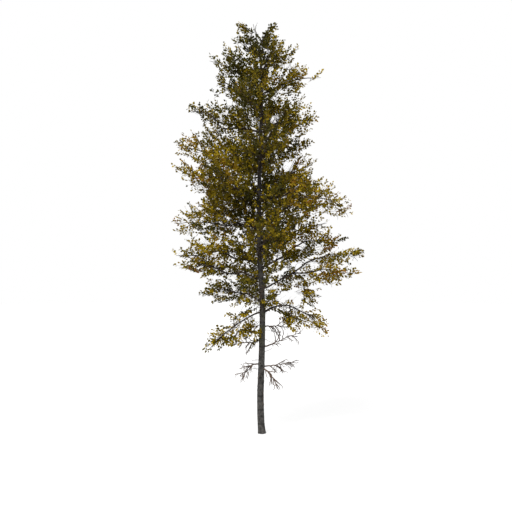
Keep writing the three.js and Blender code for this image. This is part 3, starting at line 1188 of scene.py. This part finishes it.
def grow_long_shoots(wood, mass, axis, random):
    """The mass's long single shoots. Returns the places where leafy side shoots stand on them."""
    ahead = headings(axis)
    targets = []
    for tip in LONG_SHOOTS.get(mass.node, ()):
        near = int(np.argmin(lengths(axis - tip) + np.linspace(0, 0.3, len(axis))))
        start = max(1, near - 3)
        pull = axis[start] + ahead[start] * 0.2 + (np.array(tip) - axis[start]) * 0.4
        path = crooked(bent(axis[start], pull, np.array(tip), 9), random, 0.01)
        wood.add(path, np.linspace(0.008, SHOOT_FOOT, len(path)), BRANCH_SIDES, skip=1)
        targets.append(path[4::2] + random.normal(0, 0.04, (3, 3)) - headings(path)[4::2] * 0.12)
    return targets


def grow_leafy_shoots(wood, mass, targets, crown, twigs, random):
    """A shoot through each target, the nearest to the branches first. Returns them as (path, tone)."""
    order = np.argsort([np.min(lengths(wood.all_places - t)) for t in targets])
    middle = mass.axis[len(mass.axis) // 2]
    # Shoots may end one spill above the mass's box and two below it.
    low = np.maximum(BOX_LOW, mass.low - STAND_OUT - 2 * TIER_SPILL * UP)
    high = np.minimum(BOX_HIGH, mass.high + STAND_OUT + TIER_SPILL * UP)
    tones = {}
    shoots = []
    for goal in targets[order]:
        place, way, far = wood.nearest(goal)
        heading = shoot_heading(goal, place, way, far, random)
        size = crown.shoot_length * random.uniform(0.72, 1.2)
        start = goal - heading * 0.45 * size
        end = np.clip(goal + heading * 0.55 * size, low, high)
        gap = np.linalg.norm(start - place)
        joint = bent(place, place + way * 0.4 * gap, start, 3)[:-1]
        straight = crooked(np.linspace(start, end, 3), random, 0.006)
        path = np.vstack([joint, straight])
        twigs.add(path, np.linspace(SHOOT_FOOT, SHOOT_TIP, len(path)), TWIG_SIDES)
        wood.extend(path[1:-1])
        spray = tuple(np.floor((goal - middle) / SPRAY).astype(int))
        if spray not in tones:
            tones[spray] = random.normal(0, SPRAY_TONE)
        # The tone adds autumn()'s painted light and shade by place to the spray's and the shoot's own random
        # tones.
        shoots.append((straight, tones[spray] + autumn(goal) + random.normal(0, SHOOT_TONE)))
    return shoots


def grow_mass(mass, crown, branches, twigs, random):
    """Grows one mass's bough, side branches and leafy shoots. Returns the shoots as (path, tone)."""
    wood = Wood(branches)
    axis = mass.axis.copy()
    axis[2:-1] = crooked(axis[2:-1], random, 0.012)
    radii = 1.1 * mass.girth * np.linspace(1, 0, len(axis)) ** 0.6 + 0.004
    wood.add(axis, radii, BOUGH_SIDES, skip=2)
    targets = mass.samples(crown.shoot_spacing, random)
    if not len(targets):
        return []
    grow_side_branches(wood, mass, axis, radii, targets, crown, random)
    targets = [targets, axis[-3:-1] + random.normal(0, 0.03, (2, 3))]
    if mass.limb not in NODES:
        targets.append(mass.inner(random))
    targets += grow_long_shoots(wood, mass, axis, random)
    wood.freeze()
    return grow_leafy_shoots(wood, mass, np.vstack(targets), crown, twigs, random)


def grow_from_stem(crown, twigs, random):
    """Short leafy shoots that stand straight on the trunk, through the whole crown."""
    shoots = []
    for height in np.linspace(SHOOTS_FROM, SHOOTS_TO, STEM_SHOOTS):
        start, out = from_stem(height, 0.1, 0.9, random)
        end = start + unit(out) * crown.shoot_length * random.uniform(0.6, 1.1)
        path = crooked(np.linspace(start, end, 4), random, 0.006)
        twigs.add(path, np.linspace(0.0038, SHOOT_TIP, 4), TWIG_SIDES)
        # These shoots take autumn()'s painted light and shade by place, and a tone a little lower than the
        # sprays': darker, greener tints.
        shoots.append((path, autumn(end) + random.normal(-0.3, 0.6)))
    return shoots


def autumn(place):
    """How far a spray's tone is raised by where it grows; a higher tone deals a more turned tint, up to gold
    a brighter one.
    It is raised at the crown's broad edges and low down, which is painted light, and raised towards its
    right.
    It is lowered at the top, most at the top left, which is partly greener leaves and partly painted shade.
    """
    broad = 1.4 * (min(abs(place[0]) / 1.9, 1.0) - 0.5)
    high = np.clip((place[2] - 8.6) / 2.0, 0.0, 1.0)
    low = np.clip(4.4 - place[2], 0.0, 1.0)
    return broad + 0.12 * place[0] + high * (0.6 * place[0] - 0.35) + 0.4 * low


def shoot_heading(goal, place, way, far, random):
    """A leafy shoot points out of the crown and along its branch, and the more upright the higher it is."""
    out = unit(goal - stem_at(goal[2]))
    rise = np.interp(goal[2], [2.8, 3.8, 5.5, 9.0, TOP], [-0.35, 0.1, 0.5, 0.8, 1.5])
    heading = 0.45 * way + 0.75 * out + rise * UP + 0.2 * (goal - place) / far
    return unit(heading + random.normal(0, 0.15, 3))


# Outline of half a blade from its foot to its tip: along and across, as shares of length and width.
BLADE = ((0.06, 0.30), (0.38, 0.50), (0.72, 0.27))


def blade_mesh():
    """Points and triangles of one flat leaf: stalk, then a blade in two halves either side of its rib, which
    leaf_piece folds.
    """
    # The first two points are the foot of the stalk, which leaf_piece puts in place.
    points = [(-1.0, 0.0), (-1.0, 0.0), (0.0, 0.0), (1.0, 0.0)]
    points += [(a, b) for a, b in BLADE] + [(a, -b) for a, b in BLADE]
    faces = [(0, 1, 2)]
    faces += [(2, 5, 4), (2, 6, 5), (2, 3, 6)]
    faces += [(2, 7, 8), (2, 8, 9), (2, 9, 3)]
    return np.array(points, float), np.array(faces)


def leaves_on(shoots, crown, random):
    """Foot, stalk's foot, direction, face and length of every blade, with its shoot's tone."""
    rows = []
    for path, tone in shoots:
        run = run_of(path)
        number = max(4, int(run[-1] / crown.leaf_spacing))
        at = run[-1] * (np.arange(number) + random.uniform(0.2, 1.0)) / number
        bud = along_path(path, run, at)
        ahead = np.repeat(unit(path[-1] - path[1])[None], number, 0)
        side, rise = crossways(ahead)
        turn = LEAF_TURN * np.arange(number) + random.uniform(0, 6.28) + random.normal(0, 0.3, number)
        out = np.cos(turn)[:, None] * side + np.sin(turn)[:, None] * rise
        grow = np.linspace(0.55, 1.0, number)[:, None]
        stalk = unit(ahead * (0.45 + 0.6 * grow) + out * 0.9 + UP * 0.10)
        stalk_length = crown.stalk * random.uniform(0.7, 1.25, number)
        foot = bud + stalk * stalk_length[:, None]
        blade = unit(stalk + ahead * 0.25 - UP * 0.22 + random.normal(0, 0.32, (number, 3)))
        face = UP * 0.35 + unit(foot - stem_at(foot[:, 2])) * 0.35 + random.normal(0, 0.7, (number, 3))
        size = crown.leaf_length * random.uniform(0.72, 1.12, number)
        size[-1] *= 0.85
        rows.append((foot, bud, blade, face, size, np.full(number, tone)))
    foot, bud, blade, face, size, tones = (np.concatenate(part) for part in zip(*rows))
    face = unit(face - np.einsum("ij,ij->i", face, blade)[:, None] * blade)
    return foot, bud, blade, face, size, tones


def leaf_piece(name, leaves, crown, material, random):
    """One joined mesh of leaves."""
    foot, bud, blade, face, size = leaves
    shape, triangles = blade_mesh()
    across = np.cross(face, blade)
    fold = random.uniform(0.10, 0.42, len(foot))
    curl = random.uniform(-0.05, 0.22, len(foot))
    wide = crown.leaf_width * random.uniform(0.9, 1.08, len(foot))
    along = shape[None, :, 0]
    sideways = shape[None, :, 1] * wide[:, None]
    lift = np.abs(sideways) * fold[:, None] - curl[:, None] * along**2
    points = (
        foot[:, None]
        + blade[:, None] * (along * size[:, None])[..., None]
        + across[:, None] * (sideways * size[:, None])[..., None]
        + face[:, None] * (lift * size[:, None])[..., None]
    )
    points[:, 0] = bud - across * STALK_HALF
    points[:, 1] = bud + across * STALK_HALF
    index = triangles[None] + (np.arange(len(foot)) * len(shape))[:, None, None]
    return mesh_object(name, points.reshape(-1, 3), index.reshape(-1, 3), material, smooth=False)


class POPLAR_OT_crown(bpy.types.Operator):
    """Grow boughs, side branches, shoots and autumn leaves through every leaf mass"""

    bl_idname = "poplar.crown"
    bl_label = "Crown"

    def execute(self, context):
        crown = context.scene.poplar_crown
        bark = context.scene.poplar_bark
        random = np.random.default_rng(crown.seed)
        branches, twigs = Tubes(), Tubes()
        shoots, boughs = [], []
        for node in MASSES:
            mass = Mass(node)
            shoots += grow_mass(mass, crown, branches, twigs, random)
            if node in SHOWN_BOUGHS:
                boughs.append((resampled(mass.whole_line(), 60)[:44], SHOWN_BOUGHS[node]))
        shoots += grow_from_stem(crown, twigs, random)
        surface = bark_material("Branch bark", bark, banded=False)
        settle(branches.build("live_branches", surface), MASSES)
        surface = plain_material("Live twigs", bark.twig, 0.8)
        settle(twigs.build("live_twigs", surface), MASSES)
        leaves = leaves_on(shoots, crown, random)
        kept = ~left_out(leaves[0], boughs, random)
        foot, bud, blade, face, size, tone = (part[kept] for part in leaves)
        # Each band of tone deals one tint; the tones carry autumn()'s painted light and shade by place.
        low = LOWEST_TONE
        for tint, high in TINTS:
            own = (tone >= low) & (tone < high)
            low = high
            if not own.any():
                continue
            surface = plain_material(f"Leaf {tint}", getattr(crown, tint), 0.6, gloss=0.12)
            some = (foot[own], bud[own], blade[own], face[own], size[own])
            piece = leaf_piece(f"leaves_in_{tint}", some, crown, surface, random)
            settle(piece, MASSES)
        return {"FINISHED"}


# ---------------------------------------------------------------- stage


class POPLAR_OT_stage(bpy.types.Operator):
    """Set up the floor, lights and camera"""

    bl_idname = "poplar.stage"
    bl_label = "Stage"

    def execute(self, context):
        stage = context.scene.poplar_stage
        fresh("floor")
        bpy.ops.object.select_all(action="DESELECT")
        bpy.ops.mesh.primitive_circle_add(vertices=96, radius=stage.floor, fill_type="TRIFAN")
        floor = context.active_object
        floor.name = "floor"
        floor.location.z = -0.001
        floor.data.materials.append(self.floor_material())
        self.world(context, stage)
        self.sun(context, stage)
        self.camera(context, stage)
        context.scene.view_settings.view_transform = "Standard"
        context.scene.view_settings.look = "None"
        return {"FINISHED"}

    def floor_material(self):
        """A pale floor that throws little of its light back up into the crown."""
        made, mix, shader = material("Pale floor", 1.0)
        mix.tree.nodes.remove(shader)
        glow = mix.node("Emission", {"Strength": 0.72}).outputs[0]
        matt = mix.node("BsdfDiffuse", {"Color": (0.30, 0.30, 0.30, 1)}).outputs[0]
        dark = mix.node("BsdfDiffuse", {"Color": (0.25, 0.25, 0.25, 1)}).outputs[0]
        both = mix.node("AddShader", {0: glow, 1: matt}).outputs[0]
        mix.feed(mix.tree.nodes["Material Output"].inputs["Surface"], mix.split_rays(dark, both))
        return made

    def world(self, context, stage):
        """Pale light from all round, and plain white behind the tree."""
        world = bpy.data.worlds.new("Pale room")
        world.use_nodes = True
        mix = Mixer(world.node_tree)
        white = (1, 1, 1, 1)
        room = mix.tree.nodes["Background"]
        room.inputs["Color"].default_value = white
        room.inputs["Strength"].default_value = stage.fill
        backdrop = mix.node("Background", {"Color": white})
        either = mix.split_rays(room.outputs[0], backdrop.outputs[0])
        mix.feed(mix.tree.nodes["World Output"].inputs["Surface"], either)
        context.scene.world = world

    def sun(self, context, stage):
        """The main light, from high up and a little to one side."""
        fresh("key_light")
        light = bpy.data.lights.new("key_light", "SUN")
        light.energy = stage.key
        light.angle = 0.35
        lamp = bpy.data.objects.new("key_light", light)
        lamp.rotation_euler = (math.radians(30), math.radians(-24), 0)
        context.scene.collection.objects.link(lamp)

    def camera(self, context, stage):
        fresh("camera")
        lens = bpy.data.cameras.new("camera")
        lens.lens = stage.lens
        lens.sensor_width = 36.0
        camera = bpy.data.objects.new("camera", lens)
        camera.location = (CAMERA_SIDE, -stage.distance, stage.eye)
        camera.rotation_euler = (math.radians(90), 0, 0)
        context.scene.collection.objects.link(camera)
        context.scene.camera = camera


# ---------------------------------------------------------------- panel and start


class POPLAR_PT_panel(bpy.types.Panel):
    """Lists the steps that make the poplar"""

    bl_label = "Autumn Poplar"
    bl_idname = "POPLAR_PT_panel"
    bl_space_type = "VIEW_3D"
    bl_region_type = "UI"
    bl_category = "Poplar"

    def draw(self, context):
        for step in STEPS:
            self.layout.operator(step.bl_idname)


STEPS = (POPLAR_OT_trunk, POPLAR_OT_limbs, POPLAR_OT_dead_boughs, POPLAR_OT_crown, POPLAR_OT_stage)
SETTINGS = {
    "poplar_bark": PoplarBark,
    "poplar_crown": PoplarCrown,
    "poplar_dead_wood": PoplarDeadWood,
    "poplar_stage": PoplarStage,
}


def register():
    for name, settings in SETTINGS.items():
        bpy.utils.register_class(settings)
        setattr(bpy.types.Scene, name, bpy.props.PointerProperty(type=settings))
    for made in (*STEPS, POPLAR_PT_panel):
        bpy.utils.register_class(made)


def unregister():
    for made in (POPLAR_PT_panel, *reversed(STEPS)):
        bpy.utils.unregister_class(made)
    for name, settings in SETTINGS.items():
        delattr(bpy.types.Scene, name)
        bpy.utils.unregister_class(settings)


def main():
    register()
    bpy.ops.poplar.trunk()
    bpy.ops.poplar.limbs()
    bpy.ops.poplar.dead_boughs()
    bpy.ops.poplar.crown()
    bpy.ops.poplar.stage()


if __name__ == "__main__":
    main()
